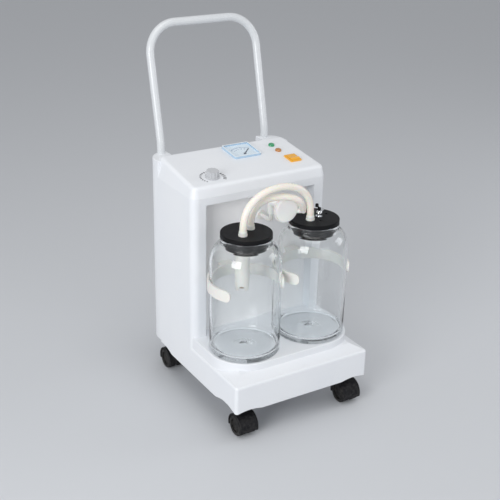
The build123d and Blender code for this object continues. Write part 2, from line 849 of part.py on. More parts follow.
for hose_name, route in (("front_hose", front_hose_route), ("rear_hose", rear_hose_route)):
    radii = hose_radii(route)
    print(hose_name, "radii", [round(value, 1) for value in radii])
    with BuildPart() as hose:
        with BuildLine() as hose_path:
            FilletPolyline(*route, radius=radii)
        start_plane = Plane(route[0], z_dir=Vector(*route[1]) - Vector(*route[0]))
        with BuildSketch(start_plane):
            Circle(hose_radius)
            Circle(hose_bore, mode=Mode.SUBTRACT)
        sweep()
    ring = pi * (hose_radius**2 - hose_bore**2)
    print(hose_name, "length", round(hose_path.wires()[0].length, 1))
    print(hose_name, "volume over section times length", hose.part.volume / ring / hose_path.wires()[0].length)
    finish(hose.part, hose_name)

# Disc filter: two domed halves with a seam ring, inlet nipple at the rim, outlet at the back
filter_rim = 1.6
filter_dome = 3
hose_end = Vector(*rear_hose_route[-1])
nipple_axis = (Vector(*rear_hose_route[-2]) - hose_end).normalized()
nipple_length = 6
boss_reach = 4
elbow_drop = 6
outlet_length = 12
with BuildPart() as disc_filter:
    with BuildSketch(Plane((filter_x, filter_y - filter_thickness / 2, filter_z), z_dir=(0, 1, 0))):
        Circle(filter_radius - filter_rim)
    extrude(amount=filter_thickness)
    flat_faces = disc_filter.faces().filter_by(Axis.Y)
    fillet(flat_faces.edges(), filter_dome)
    with BuildSketch(Plane((filter_x, filter_y - filter_rim, filter_z), z_dir=(0, 1, 0))):
        Circle(filter_radius)
    extrude(amount=2 * filter_rim)
    elbow_centre = hose_end - nipple_axis * elbow_drop
    with BuildSketch(Plane(elbow_centre, z_dir=nipple_axis)):
        Circle(hose_bore - 0.1)
    extrude(amount=elbow_drop + nipple_length)
    boss_start = Vector(filter_x + filter_radius - boss_reach, filter_y, elbow_centre.Z)
    with BuildSketch(Plane(boss_start, z_dir=elbow_centre - boss_start)):
        Circle(hose_bore)
    extrude(amount=(elbow_centre - boss_start).length)
    with Locations(tuple(elbow_centre)):
        Sphere(hose_bore + 0.6)
    with BuildSketch(Plane((filter_x, filter_y, filter_z), z_dir=(0, 1, 0))):
        Circle(inlet_radius)
    extrude(amount=filter_thickness / 2 + outlet_length)
finish(disc_filter.part, "disc_filter")

# Rubber elbow from the filter's back down onto the inlet elbow
elbow_bend = 9
sleeve_bottom = filter_z - elbow_bend - sleeve_length
outlet_start = filter_y + filter_thickness / 2
with BuildPart() as filter_elbow:
    with BuildLine() as elbow_path:
        FilletPolyline(
            (filter_x, outlet_start, filter_z),
            (filter_x, sleeve_y, filter_z),
            (filter_x, sleeve_y, sleeve_bottom),
            radius=elbow_bend,
        )
    with BuildSketch(Plane((filter_x, outlet_start, filter_z), z_dir=(0, 1, 0))):
        Circle(sleeve_radius)
        Circle(inlet_radius + running_gap, mode=Mode.SUBTRACT)
    sweep()
finish(filter_elbow.part, "filter_elbow")

# Inlet elbow: barb through the bay panel, turned up in front of it
inlet_bend = 8
barb_top = sleeve_bottom + sleeve_length - 2
inlet_flange = 9
with BuildPart() as inlet_elbow:
    with BuildLine() as inlet_path:
        FilletPolyline(
            (filter_x, bay_panel_y + bay_panel_thickness + 12, inlet_z),
            (filter_x, sleeve_y, inlet_z),
            (filter_x, sleeve_y, barb_top),
            radius=inlet_bend,
        )
    inlet_start = (filter_x, bay_panel_y + bay_panel_thickness + 12, inlet_z)
    with BuildSketch(Plane(inlet_start, z_dir=(0, -1, 0))):
        Circle(inlet_radius)
    sweep()
    with BuildSketch(Plane((filter_x, bay_panel_y, inlet_z), z_dir=(0, -1, 0))):
        Circle(inlet_flange)
    extrude(amount=3)
finish(inlet_elbow.part, "inlet_elbow")

# Jar clips: sprung strap round each jar, open at the front, on a pad against the bay panel
for clip_name, side in (("jar_clip_left", -1), ("jar_clip_right", 1)):
    inner_reach = jar_radius + clip_gap
    outer_reach = inner_reach + clip_thickness
    with BuildPart() as clip:
        with BuildSketch(Plane.XY.offset(clip_bottom)):
            with Locations((side * jar_x, jar_y)):
                Circle(outer_reach)
            pad_front = jar_y + inner_reach + 1
            with Locations((side * jar_x, (pad_front + bay_panel_y) / 2)):
                Rectangle(clip_pad_width, bay_panel_y - pad_front)
            with Locations((side * jar_x, jar_y)):
                Circle(inner_reach, mode=Mode.SUBTRACT)
                with BuildLine(mode=Mode.PRIVATE) as mouth:
                    reach = 2 * outer_reach
                    Polyline(
                        (0, 0),
                        (reach * cos(radians(-clip_open)), reach * sin(radians(-clip_open))),
                        (0, -2 * reach),
                        (-reach * cos(radians(-clip_open)), reach * sin(radians(-clip_open))),
                        close=True,
                    )
                add(make_face(mouth.edges(), mode=Mode.PRIVATE), mode=Mode.SUBTRACT)
        extrude(amount=clip_height)
        tips = clip.edges().filter_by(lambda edge: abs(edge.length - clip_thickness) < 0.05)
        fillet(tips.filter_by(GeomType.LINE), clip_height / 2 - 1)
    finish(clip.part, clip_name)

# Casters: swivelling fork with a crown over twin wheels on one axle, and a fixed stem
web_half = fork_web / 2
wheel_inner = web_half + wheel_gap
wheel_outer = wheel_inner + wheel_width
crown_inner = wheel_radius + crown_gap
crown_outer = crown_inner + crown_thickness
boss_radius = 10
bore_bottom = 42
crown_low = 12
tread_round = 3
hub_radius = 13
hub_recess = 3
for place_name, x, y, trail in caster_places:
    axle_y = y + trail * caster_trail
    side_plane = Plane((x, axle_y, wheel_radius), x_dir=(0, 1, 0), z_dir=(1, 0, 0))
    with BuildPart() as fork:
        with BuildSketch(side_plane):
            Circle(crown_outer)
        extrude(amount=wheel_outer, both=True)
        with BuildSketch(Plane.XY.offset(wheel_radius)):
            with Locations((x, y)):
                Circle(boss_radius)
        extrude(amount=fork_top - wheel_radius)
        for end in (-1, 1):
            with BuildSketch(side_plane.offset(end * web_half)):
                Circle(crown_inner)
            extrude(amount=end * (wheel_width + crown_outer), mode=Mode.SUBTRACT)
        with Locations((x, axle_y, crown_low + wheel_radius - crown_outer * 2 + 4)):
            Box(4 * crown_outer, 4 * crown_outer, 2 * crown_outer, mode=Mode.SUBTRACT)
        with BuildSketch(side_plane):
            Circle(axle_radius + running_gap)
        extrude(amount=wheel_outer, both=True, mode=Mode.SUBTRACT)
        with BuildSketch(Plane.XY.offset(bore_bottom)):
            with Locations((x, y)):
                Circle(stem_radius + running_gap)
        extrude(amount=fork_top - bore_bottom, mode=Mode.SUBTRACT)
    finish(fork.part, f"caster_fork_{place_name}")

    with BuildPart() as wheels:
        with BuildSketch(side_plane):
            Circle(axle_radius)
        extrude(amount=wheel_outer - hub_recess, both=True)
        for end in (-1, 1):
            with BuildSketch(side_plane.offset(end * wheel_inner)):
                Circle(wheel_radius)
            extrude(amount=end * wheel_width)
            outer_face = wheels.faces().filter_by(Axis.X).group_by(Axis.X)[-1 if end > 0 else 0]
            fillet(outer_face.edges(), tread_round)
            with BuildSketch(side_plane.offset(end * wheel_outer)):
                Circle(hub_radius)
            extrude(amount=-end * hub_recess, mode=Mode.SUBTRACT)
    finish(wheels.part, f"caster_wheels_{place_name}")

stem_flange = 10
stem_flange_thickness = 2
with BuildPart() as caster_stems:
    for _, x, y, _ in caster_places:
        with BuildSketch(Plane.XY.offset(bore_bottom + 0.3)):
            with Locations((x, y)):
                Circle(stem_radius)
        extrude(amount=plate_bottom - bore_bottom - 0.3)
        with BuildSketch(Plane.XY.offset(fork_top + 0.3)):
            with Locations((x, y)):
                Circle(stem_collar)
        extrude(amount=plate_bottom - fork_top - 0.3)
        with BuildSketch(Plane.XY.offset(plate_bottom - stem_flange_thickness)):
            with Locations((x, y)):
                Circle(stem_flange)
        extrude(amount=stem_flange_thickness)
finish(caster_stems.part, "caster_stems")

# Pump: motor between two crankcases with finned heads, on rubber isolators
crankcase_x = motor_length / 2 + crankcase_width / 2
crankcase_bottom = pump_z - crankcase_height * 0.55
crankcase_top = crankcase_bottom + crankcase_height
motor_plane = Plane((0, pump_y, pump_z), x_dir=(0, 1, 0), z_dir=(1, 0, 0))
with BuildPart() as motor_housing:
    with BuildSketch(motor_plane):
        Circle(motor_radius)
        Circle(motor_bore, mode=Mode.SUBTRACT)
    extrude(amount=motor_length / 2, both=True)
finish(motor_housing.part, "motor_housing")

with BuildPart() as crankcases:
    for side in (-1, 1):
        with BuildSketch(motor_plane.offset(side * (crankcase_x - crankcase_width / 2))) as case_plan:
            with Locations((0, (crankcase_bottom + crankcase_top) / 2 - pump_z)):
                RectangleRounded(crankcase_depth, crankcase_height, 16)
            Circle(shaft_radius + running_gap, mode=Mode.SUBTRACT)
        extrude(amount=side * crankcase_width)
finish(crankcases.part, "crankcases")

with BuildPart() as cylinder_heads:
    fin_pitch = head_height / head_fins
    for side in (-1, 1):
        block(
            (side * crankcase_x - head_width / 2 + 4, side * crankcase_x + head_width / 2 - 4),
            (pump_y - head_depth / 2 + 4, pump_y + head_depth / 2 - 4),
            (crankcase_top, crankcase_top + head_height),
        )
        for fin in range(head_fins):
            fin_z = crankcase_top + (fin + 1) * fin_pitch - fin_thickness
            block(
                (side * crankcase_x - head_width / 2, side * crankcase_x + head_width / 2),
                (pump_y - head_depth / 2, pump_y + head_depth / 2),
                (fin_z, fin_z + fin_thickness),
            )
finish(cylinder_heads.part, "cylinder_heads")

rotor_gap = 0.5
shaft_reach = crankcase_x + crankcase_width / 2 + fan_width + 4
with BuildPart() as rotor_shaft:
    with BuildSketch(motor_plane):
        Circle(shaft_radius)
    extrude(amount=shaft_reach, both=True)
    with BuildSketch(motor_plane):
        Circle(motor_bore - rotor_gap)
    extrude(amount=motor_length / 2 - 6, both=True)
finish(rotor_shaft.part, "rotor_shaft")

fan_hub = 12
blade_thickness = 1.6
blade_pitch = 35
fan_x = crankcase_x + crankcase_width / 2 + 2 + fan_width / 2
with BuildPart() as cooling_fans:
    for side in (-1, 1):
        hub_plane = motor_plane.offset(side * fan_x)
        with BuildSketch(hub_plane):
            Circle(fan_hub)
        extrude(amount=fan_width / 2, both=True)
        for blade in range(fan_blades):
            turn = 360 / fan_blades * blade
            with Locations(hub_plane * Rot(0, 0, turn) * Pos((fan_hub + fan_radius) / 2 - 1, 0, 0)):
                Box(fan_radius - fan_hub + 2, fan_width * 1.1, blade_thickness, rotation=(blade_pitch, 0, 0))
        with BuildSketch(hub_plane):
            Circle(shaft_radius)
        extrude(amount=fan_width / 2, both=True, mode=Mode.SUBTRACT)
finish(cooling_fans.part, "cooling_fans")

isolator_y = 26
with BuildPart() as pump_isolators:
    for side in (-1, 1):
        for end in (-1, 1):
            with BuildSketch(Plane.XY.offset(plate_top)):
                with Locations((side * crankcase_x, pump_y + end * isolator_y)):
                    Circle(isolator_radius)
            extrude(amount=crankcase_bottom - plate_top)
finish(pump_isolators.part, "pump_isolators")

# Exhaust silencer under the motor and run capacitor beside the pump
silencer_radius = 15
silencer_length = 74
with BuildPart() as exhaust_silencer:
    with BuildSketch(Plane((0, pump_y, plate_top + silencer_radius), x_dir=(0, 1, 0), z_dir=(1, 0, 0))):
        Circle(silencer_radius)
    extrude(amount=silencer_length / 2, both=True)
finish(exhaust_silencer.part, "exhaust_silencer")

capacitor_radius = 15
capacitor_height = 70
capacitor_inset = 22
capacitor_place = (-half_width + capacitor_inset, 76)
with BuildPart() as run_capacitor:
    with BuildSketch(Plane.XY.offset(plate_top)):
        with Locations(capacitor_place):
            Circle(capacitor_radius)
    extrude(amount=capacitor_height)
    fillet(run_capacitor.faces().sort_by(Axis.Z)[-1].edges(), 2)
finish(run_capacitor.part, "run_capacitor")

# Mains inlet and fuse holder in the rear cover
inlet_depth = 24
inlet_lip = 4
pin_width = 2
with BuildPart() as mains_inlet:
    with BuildSketch(Plane.XZ.offset(-body_rear)):
        with Locations((mains_x, mains_z)):
            RectangleRounded(inlet_width + 2 * inlet_lip, inlet_height + 2 * inlet_lip, 3)
    extrude(amount=-2)
    block(
        (mains_x - inlet_width / 2, mains_x + inlet_width / 2),
        (body_rear - inlet_depth, body_rear + 1),
        (mains_z - inlet_height / 2, mains_z + inlet_height / 2),
    )
    block(
        (mains_x - inlet_width / 2 + 2, mains_x + inlet_width / 2 - 2),
        (body_rear - inlet_depth + 4, body_rear + 2),
        (mains_z - inlet_height / 2 + 2, mains_z + inlet_height / 2 - 2),
        Mode.SUBTRACT,
    )
    for pin_x, pin_z in ((-7, -2), (0, 2), (7, -2)):
        block(
            (mains_x + pin_x - pin_width / 2, mains_x + pin_x + pin_width / 2),
            (body_rear - inlet_depth + 3, body_rear - 6),
            (mains_z + pin_z - 2, mains_z + pin_z + 2),
        )
finish(mains_inlet.part, "mains_inlet")

with BuildPart() as fuse_holder:
    with BuildSketch(Plane((fuse_x, body_rear, mains_z), z_dir=(0, 1, 0))):
        Circle(fuse_hole + 2)
    extrude(amount=6)
    chamfer(fuse_holder.faces().sort_by(Axis.Y)[-1].edges(), 1)
    with BuildSketch(Plane((fuse_x, body_rear, mains_z), z_dir=(0, 1, 0))):
        Circle(fuse_hole)
    extrude(amount=-28)
finish(fuse_holder.part, "fuse_holder")
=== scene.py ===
import json
from math import cos, pi, radians, sin

import bmesh
import bpy
from mathutils import Matrix, Vector


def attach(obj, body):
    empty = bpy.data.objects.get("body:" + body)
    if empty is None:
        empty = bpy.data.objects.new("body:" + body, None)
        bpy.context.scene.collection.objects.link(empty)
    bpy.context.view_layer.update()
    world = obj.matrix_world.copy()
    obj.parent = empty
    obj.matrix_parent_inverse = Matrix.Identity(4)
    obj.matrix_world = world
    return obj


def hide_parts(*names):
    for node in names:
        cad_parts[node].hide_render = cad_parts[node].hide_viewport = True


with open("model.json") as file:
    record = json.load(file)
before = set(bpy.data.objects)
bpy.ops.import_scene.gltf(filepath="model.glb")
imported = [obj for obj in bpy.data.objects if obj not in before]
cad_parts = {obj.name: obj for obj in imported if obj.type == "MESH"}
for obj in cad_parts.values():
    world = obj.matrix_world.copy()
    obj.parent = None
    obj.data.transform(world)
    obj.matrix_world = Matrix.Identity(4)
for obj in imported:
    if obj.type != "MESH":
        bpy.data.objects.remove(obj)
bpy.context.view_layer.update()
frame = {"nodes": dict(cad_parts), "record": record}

MM = 0.001


# Camera and studio

def camera_at_photo_angle():
    """The photograph's viewpoint: from the front left and above."""
    yaw, pitch, roll = 0.553, 0.414, 0.021
    eye = Vector((-0.90031, -1.45979, 1.02403))
    focal_length, sensor_width = 70.88, 36
    forward = Vector((sin(yaw) * cos(pitch), cos(yaw) * cos(pitch), -sin(pitch)))
    level = Vector((cos(yaw), -sin(yaw), 0))
    upward = level.cross(forward)
    right = cos(roll) * level + sin(roll) * upward
    top = -sin(roll) * level + cos(roll) * upward
    data = bpy.data.cameras.new("photo_camera")
    data.lens = focal_length
    data.sensor_width = sensor_width
    data.clip_start = 0.01
    camera = bpy.data.objects.new("photo_camera", data)
    camera.matrix_world = Matrix((
        (right.x, top.x, -forward.x, eye.x),
        (right.y, top.y, -forward.y, eye.y),
        (right.z, top.z, -forward.z, eye.z),
        (0, 0, 0, 1),
    ))
    bpy.context.collection.objects.link(camera)
    bpy.context.scene.camera = camera


def softbox(name, place, target, size, watts, tint):
    """A square soft lamp aimed at a point."""
    data = bpy.data.lights.new(name, "AREA")
    data.size = size
    data.energy = watts
    data.color = tint
    lamp = bpy.data.objects.new(name, data)
    lamp.location = place
    lamp.rotation_euler = (Vector(target) - Vector(place)).to_track_quat("-Z", "Y").to_euler()
    bpy.context.collection.objects.link(lamp)


def studio():
    """Pale floor, a soft grey world and four softboxes."""
    bpy.context.scene.view_settings.view_transform = "Standard"
    world = bpy.data.worlds.new("studio")
    world.use_nodes = True
    bpy.context.scene.world = world
    nodes, links = world.node_tree.nodes, world.node_tree.links
    nodes.clear()
    path = nodes.new("ShaderNodeLightPath")
    ambient = nodes.new("ShaderNodeBackground")
    ambient.inputs["Color"].default_value = (0.96, 0.975, 1, 1)
    ambient.inputs["Strength"].default_value = 0.5
    backdrop = nodes.new("ShaderNodeBackground")
    backdrop.inputs["Color"].default_value = (0.53, 0.55, 0.58, 1)
    choice = nodes.new("ShaderNodeMixShader")
    out = nodes.new("ShaderNodeOutputWorld")
    links.new(path.outputs["Is Camera Ray"], choice.inputs[0])
    links.new(ambient.outputs[0], choice.inputs[1])
    links.new(backdrop.outputs[0], choice.inputs[2])
    links.new(choice.outputs[0], out.inputs["Surface"])
    softbox("overhead_softbox", (-0.3, -0.5, 2.3), (0, 0, 0.3), 1.5, 11, (1, 0.99, 0.97))
    softbox("front_softbox", (-2.4, -1.3, 1.2), (0, -0.1, 0.25), 1.4, 41, (0.98, 0.99, 1))
    softbox("right_softbox", (2, -0.6, 1.0), (0, 0, 0.3), 1.0, 7, (0.95, 0.97, 1))
    softbox("front_fill", (0.5, -2.6, 0.8), (0, 0, 0.25), 1.4, 6, (1, 1, 1))
    floor_mesh = bpy.data.meshes.new("studio_floor")
    half = 9
    corners = [(-half, -half, 0), (half, -half, 0), (half, half, 0), (-half, half, 0)]
    floor_mesh.from_pydata(corners, [], [(0, 1, 2, 3)])
    floor = bpy.data.objects.new("studio_floor", floor_mesh)
    bpy.context.collection.objects.link(floor)
    paint = bpy.data.materials.new("studio_floor")
    paint.use_nodes = True
    shader = paint.node_tree.nodes["Principled BSDF"]
    shader.inputs["Base Color"].default_value = (0.62, 0.635, 0.66, 1)
    shader.inputs["Roughness"].default_value = 0.75
    floor_mesh.materials.append(paint)


# Effects that several finishes share, as node groups

def effect(name, inputs, outputs):
    """An empty node group with named inputs and outputs."""
    group = bpy.data.node_groups.new(name, "ShaderNodeTree")
    for label, kind, value in inputs:
        group.interface.new_socket(label, in_out="INPUT", socket_type=kind).default_value = value
    for label, kind in outputs:
        group.interface.new_socket(label, in_out="OUTPUT", socket_type=kind)
    return group, group.nodes.new("NodeGroupInput"), group.nodes.new("NodeGroupOutput")


COLOUR, NUMBER, VECTOR = "NodeSocketColor", "NodeSocketFloat", "NodeSocketVector"


def arithmetic(tree, kind, first, second):
    """One math node; each side is a socket or a number."""
    node = tree.nodes.new("ShaderNodeMath")
    node.operation = kind
    for slot, value in zip(node.inputs, (first, second)):
        if isinstance(value, (int, float)):
            slot.default_value = value
        else:
            tree.links.new(value, slot)
    return node.outputs[0]


def span(tree, value, low, high):
    """A value mapped from low..high to 0..1 and held there."""
    node = tree.nodes.new("ShaderNodeMapRange")
    tree.links.new(value, node.inputs["Value"])
    for label, number in (("From Min", low), ("From Max", high)):
        if isinstance(number, (int, float)):
            node.inputs[label].default_value = number
        else:
            tree.links.new(number, node.inputs[label])
    return node.outputs["Result"]


def noise(tree, place, scale, detail=3.0, roughness=0.5):
    """Noise over the object's own metres."""
    node = tree.nodes.new("ShaderNodeTexNoise")
    tree.links.new(place, node.inputs["Vector"])
    if isinstance(scale, (int, float)):
        node.inputs["Scale"].default_value = scale
    else:
        tree.links.new(scale, node.inputs["Scale"])
    node.inputs["Detail"].default_value = detail
    node.inputs["Roughness"].default_value = roughness
    return node.outputs["Fac"]


def blend_colours(tree, amount, first, second):
    """Two colours mixed by a value; each is a socket."""
    node = tree.nodes.new("ShaderNodeMix")
    node.data_type = "RGBA"
    tree.links.new(amount, node.inputs["Factor"])
    tree.links.new(first, node.inputs[6])
    tree.links.new(second, node.inputs[7])
    return node.outputs[2]


def own_place(tree):
    return tree.nodes.new("ShaderNodeTexCoord").outputs["Object"]


def make_moulded_grain():
    """Fine stipple with broad tone changes, as a mould leaves it."""
    tree, enter, leave = effect(
        "moulded_grain",
        [("Colour", COLOUR, (1, 1, 1, 1)), ("Shade", COLOUR, (1, 1, 1, 1)), ("Grain", NUMBER, 900),
         ("Depth", NUMBER, 0.0001), ("Roughness", NUMBER, 0.4), ("Spread", NUMBER, 0.1)],
        [("Colour", COLOUR), ("Roughness", NUMBER), ("Normal", VECTOR)],
    )
    place = own_place(tree)
    patches = span(tree, noise(tree, place, 7, 4, 0.55), 0.35, 0.7)
    fine = noise(tree, place, enter.outputs["Grain"], 2)
    clouds = noise(tree, place, 42, 4, 0.6)
    toned = blend_colours(tree, patches, enter.outputs["Colour"], enter.outputs["Shade"])
    tree.links.new(toned, leave.inputs["Colour"])
    swing = arithmetic(tree, "MULTIPLY", arithmetic(tree, "SUBTRACT", clouds, 0.5), enter.outputs["Spread"])
    stipple = arithmetic(tree, "MULTIPLY", arithmetic(tree, "SUBTRACT", fine, 0.5), enter.outputs["Spread"])
    total = arithmetic(tree, "ADD", arithmetic(tree, "ADD", enter.outputs["Roughness"], swing), stipple)
    tree.links.new(total, leave.inputs["Roughness"])
    bump = tree.nodes.new("ShaderNodeBump")
    bump.inputs["Strength"].default_value = 1
    tree.links.new(enter.outputs["Depth"], bump.inputs["Distance"])
    tree.links.new(fine, bump.inputs["Height"])
    tree.links.new(bump.outputs["Normal"], leave.inputs["Normal"])
    return tree


def make_handling_marks():
    """Short faint scuffs and finger haze, mostly in patches."""
    tree, enter, leave = effect(
        "handling_marks",
        [("Colour", COLOUR, (1, 1, 1, 1)), ("Mark", COLOUR, (0.5, 0.5, 0.5, 1)), ("Roughness", NUMBER, 0.4),
         ("Amount", NUMBER, 0.2), ("Scale", NUMBER, 60)],
        [("Colour", COLOUR), ("Roughness", NUMBER)],
    )
    place = own_place(tree)
    stretch = tree.nodes.new("ShaderNodeMapping")
    stretch.inputs["Scale"].default_value = (1, 1, 0.18)
    stretch.inputs["Rotation"].default_value = (0.7, 0.3, 0.5)
    tree.links.new(place, stretch.inputs["Vector"])
    streaks = span(tree, noise(tree, stretch.outputs["Vector"], enter.outputs["Scale"], 6, 0.65), 0.62, 0.74)
    where = span(tree, noise(tree, place, 11, 2), 0.45, 0.7)
    mask = arithmetic(tree, "MULTIPLY", arithmetic(tree, "MULTIPLY", streaks, where), enter.outputs["Amount"])
    marked = blend_colours(tree, mask, enter.outputs["Colour"], enter.outputs["Mark"])
    tree.links.new(marked, leave.inputs["Colour"])
    tree.links.new(arithmetic(tree, "ADD", enter.outputs["Roughness"], mask), leave.inputs["Roughness"])
    return tree


def make_floor_dust():
    """Light dust and road dirt in spots near the floor."""
    tree, enter, leave = effect(
        "floor_dust",
        [("Colour", COLOUR, (1, 1, 1, 1)), ("Dust", COLOUR, (0.4, 0.38, 0.35, 1)), ("Amount", NUMBER, 0.2),
         ("Height", NUMBER, 0.09)],
        [("Colour", COLOUR)],
    )
    place = own_place(tree)
    axes = tree.nodes.new("ShaderNodeSeparateXYZ")
    tree.links.new(place, axes.inputs[0])
    low = span(tree, axes.outputs["Z"], enter.outputs["Height"], 0.0)
    spots = span(tree, noise(tree, place, 180, 5, 0.7), 0.4, 0.75)
    mask = arithmetic(tree, "MULTIPLY", arithmetic(tree, "MULTIPLY", low, spots), enter.outputs["Amount"])
    dusted = blend_colours(tree, mask, enter.outputs["Colour"], enter.outputs["Dust"])
    tree.links.new(dusted, leave.inputs["Colour"])
    return tree


def make_drawn_lines():
    """Long fine lines along one axis, as on rolled or turned metal."""
    tree, enter, leave = effect(
        "drawn_lines",
        [("Colour", COLOUR, (1, 1, 1, 1)), ("Line", COLOUR, (0.6, 0.6, 0.6, 1)),
         ("Stretch", VECTOR, (1, 1, 1)), ("Roughness", NUMBER, 0.3), ("Spread", NUMBER, 0.2)],
        [("Colour", COLOUR), ("Roughness", NUMBER), ("Normal", VECTOR)],
    )
    place = own_place(tree)
    scaled = tree.nodes.new("ShaderNodeVectorMath")
    scaled.operation = "MULTIPLY"
    tree.links.new(place, scaled.inputs[0])
    tree.links.new(enter.outputs["Stretch"], scaled.inputs[1])
    lines = noise(tree, scaled.outputs[0], 90, 4, 0.6)
    lined = blend_colours(tree, lines, enter.outputs["Colour"], enter.outputs["Line"])
    tree.links.new(lined, leave.inputs["Colour"])
    swing = arithmetic(tree, "MULTIPLY", arithmetic(tree, "SUBTRACT", lines, 0.5), enter.outputs["Spread"])
    tree.links.new(arithmetic(tree, "ADD", enter.outputs["Roughness"], swing), leave.inputs["Roughness"])
    bump = tree.nodes.new("ShaderNodeBump")
    bump.inputs["Distance"].default_value = 0.00003
    tree.links.new(lines, bump.inputs["Height"])
    tree.links.new(bump.outputs["Normal"], leave.inputs["Normal"])
    return tree


def make_slow_ripple():
    """Broad shallow waves, as in blown glass or an extruded hose."""
    tree, enter, leave = effect(
        "slow_ripple",
        [("Scale", NUMBER, 20), ("Depth", NUMBER, 0.0005), ("Stretch", VECTOR, (1, 1, 1))],
        [("Normal", VECTOR)],
    )
    place = own_place(tree)
    scaled = tree.nodes.new("ShaderNodeVectorMath")
    scaled.operation = "MULTIPLY"
    tree.links.new(place, scaled.inputs[0])
    tree.links.new(enter.outputs["Stretch"], scaled.inputs[1])
    waves = noise(tree, scaled.outputs[0], enter.outputs["Scale"], 1)
    bump = tree.nodes.new("ShaderNodeBump")
    tree.links.new(enter.outputs["Depth"], bump.inputs["Distance"])
    tree.links.new(waves, bump.inputs["Height"])
    tree.links.new(bump.outputs["Normal"], leave.inputs["Normal"])
    return tree


effects = {
    "moulded_grain": make_moulded_grain(),
    "handling_marks": make_handling_marks(),
    "floor_dust": make_floor_dust(),
    "drawn_lines": make_drawn_lines(),
    "slow_ripple": make_slow_ripple(),
}


# Finishes

def finish_named(name, **uniform):
    """A material with its Principled shader and plain values on it."""
    material = bpy.data.materials.new(name)
    material.use_nodes = True
    shader = material.node_tree.nodes["Principled BSDF"]
    for label, value in uniform.items():
        shader.inputs[label.replace("_", " ")].default_value = value
    return material, material.node_tree, shader


def place_effect(tree, name, **values):
    """One of the shared effects in a material; each value is a number, colour or socket."""
    node = tree.nodes.new("ShaderNodeGroup")
    node.node_tree = effects[name]
    for label, value in values.items():
        if isinstance(value, bpy.types.NodeSocket):
            tree.links.new(value, node.inputs[label])
        else:
            node.inputs[label].default_value = value
    return node


def rgb(red, green, blue):
    return (red, green, blue, 1)


def moulded_plastic(
    name, colour, shade, grain, depth, roughness, spread, marks,
    dust=0.0, mark_colour=rgb(0.45, 0.45, 0.46), **uniform,
):
    """Moulded plastic: grain, handling marks and dust near the floor."""
    material, tree, shader = finish_named(name, **uniform)
    grained = place_effect(
        tree, "moulded_grain", Colour=colour, Shade=shade, Grain=grain, Depth=depth,
        Roughness=roughness, Spread=spread,
    )
    marked = place_effect(
        tree, "handling_marks", Colour=grained.outputs["Colour"], Mark=mark_colour,
        Roughness=grained.outputs["Roughness"], Amount=marks, Scale=70.0,
    )
    dusted = place_effect(tree, "floor_dust", Colour=marked.outputs["Colour"], Amount=dust)
    tree.links.new(dusted.outputs["Colour"], shader.inputs["Base Color"])
    tree.links.new(marked.outputs["Roughness"], shader.inputs["Roughness"])
    tree.links.new(grained.outputs["Normal"], shader.inputs["Normal"])
    return material


def drawn_metal(name, colour, line, stretch, roughness, spread, **uniform):
    """Metal with the lines of rolling, drawing or turning."""
    material, tree, shader = finish_named(name, Metallic=1.0, **uniform)
    lined = place_effect(
        tree, "drawn_lines", Colour=colour, Line=line, Stretch=stretch, Roughness=roughness, Spread=spread,
    )
    tree.links.new(lined.outputs["Colour"], shader.inputs["Base Color"])
    tree.links.new(lined.outputs["Roughness"], shader.inputs["Roughness"])
    tree.links.new(lined.outputs["Normal"], shader.inputs["Normal"])
    return material


def let_light_through(tree, shader, tint):
    """Clear pieces pass the lamps' light on to what stands behind or in them."""
    path = tree.nodes.new("ShaderNodeLightPath")
    clear = tree.nodes.new("ShaderNodeBsdfTransparent")
    clear.inputs["Color"].default_value = tint
    choice = tree.nodes.new("ShaderNodeMixShader")
    either = arithmetic(tree, "MAXIMUM", path.outputs["Is Shadow Ray"], path.outputs["Is Diffuse Ray"])
    tree.links.new(either, choice.inputs[0])
    tree.links.new(shader.outputs[0], choice.inputs[1])
    tree.links.new(clear.outputs[0], choice.inputs[2])
    tree.links.new(choice.outputs[0], tree.nodes["Material Output"].inputs["Surface"])


def blown_glass():
    """Clear jar glass with a faint grey-green body and slow waves."""
    material, tree, shader = finish_named("glass", Metallic=0.0, Transmission_Weight=1.0, IOR=1.45)
    ripple = place_effect(tree, "slow_ripple", Scale=14.0, Depth=0.0012, Stretch=(1, 1, 0.4))
    grained = place_effect(
        tree, "moulded_grain", Colour=rgb(0.98, 0.988, 0.99), Shade=rgb(0.965, 0.978, 0.98),
        Grain=50.0, Depth=0.0, Roughness=0.015, Spread=0.015,
    )
    tree.links.new(grained.outputs["Colour"], shader.inputs["Base Color"])
    tree.links.new(grained.outputs["Roughness"], shader.inputs["Roughness"])
    tree.links.new(ripple.outputs["Normal"], shader.inputs["Normal"])
    let_light_through(tree, shader, (0.96, 0.97, 0.975, 1))
    return material


def tinted_window():
    """Flat clear cover of the gauge, a little blue."""
    material, tree, shader = finish_named("window_clear", Metallic=0.0, Transmission_Weight=1.0, IOR=1.2)
    grained = place_effect(
        tree, "moulded_grain", Colour=rgb(0.97, 0.985, 1.0), Shade=rgb(0.95, 0.975, 0.995),
        Grain=300.0, Depth=0.0, Roughness=0.05, Spread=0.03,
    )
    tree.links.new(grained.outputs["Colour"], shader.inputs["Base Color"])
    tree.links.new(grained.outputs["Roughness"], shader.inputs["Roughness"])
    let_light_through(tree, shader, (0.94, 0.97, 0.99, 1))
    return material


